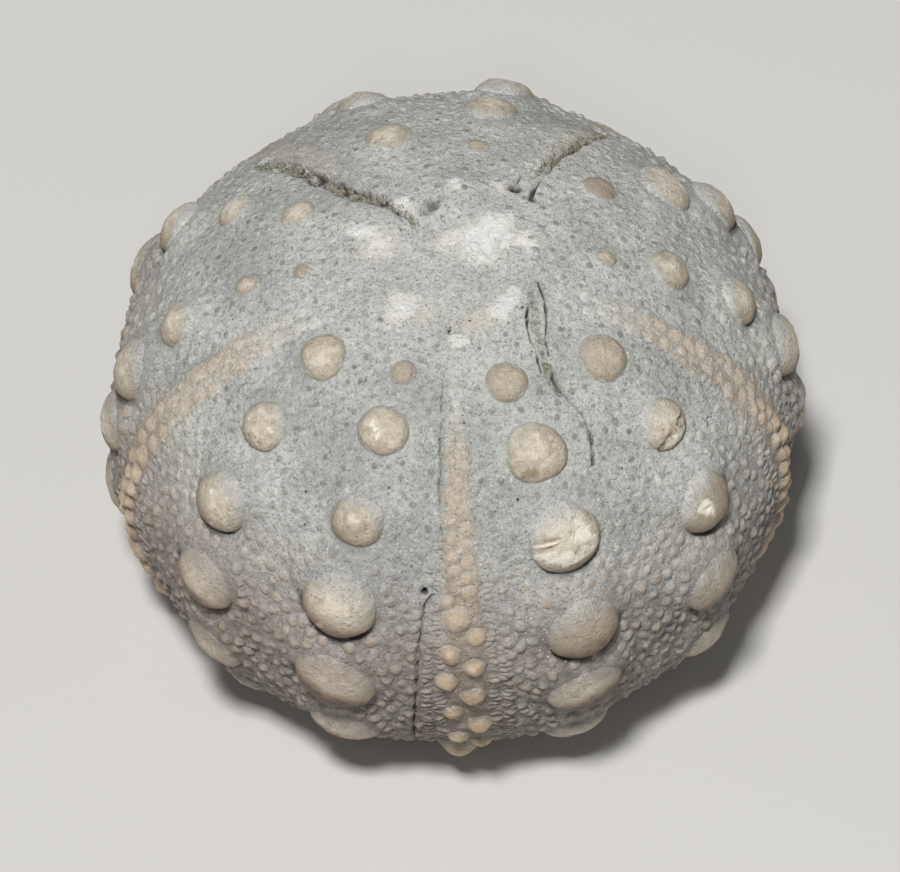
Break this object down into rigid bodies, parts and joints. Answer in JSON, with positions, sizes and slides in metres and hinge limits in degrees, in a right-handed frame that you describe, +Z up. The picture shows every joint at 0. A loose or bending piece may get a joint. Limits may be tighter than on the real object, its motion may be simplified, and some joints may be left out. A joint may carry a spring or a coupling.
{
  "type": "fossil sea urchin",
  "caption": "Petrified round sea urchin test with columns of worn tubercles, narrow knobbed bands and a mud-filled mouth it rests on.",
  "frame": {"origin": "middle of the flat face of the mud plug in the mouth, on which the fossil rests", "axes": "+Z up through the apex, -Y towards the ambulacrum with the open seam beside it, which faces the viewer, +X to the viewer's right"},
  "size_m": [0.0351, 0.0345, 0.0224],
  "materials": {
    "stone": "dull grey limestone with beige worn tubercles"
  },
  "bodies": {
    "root": {"fossil_urchin_test": "stone"}
  },
  "joints": []
}
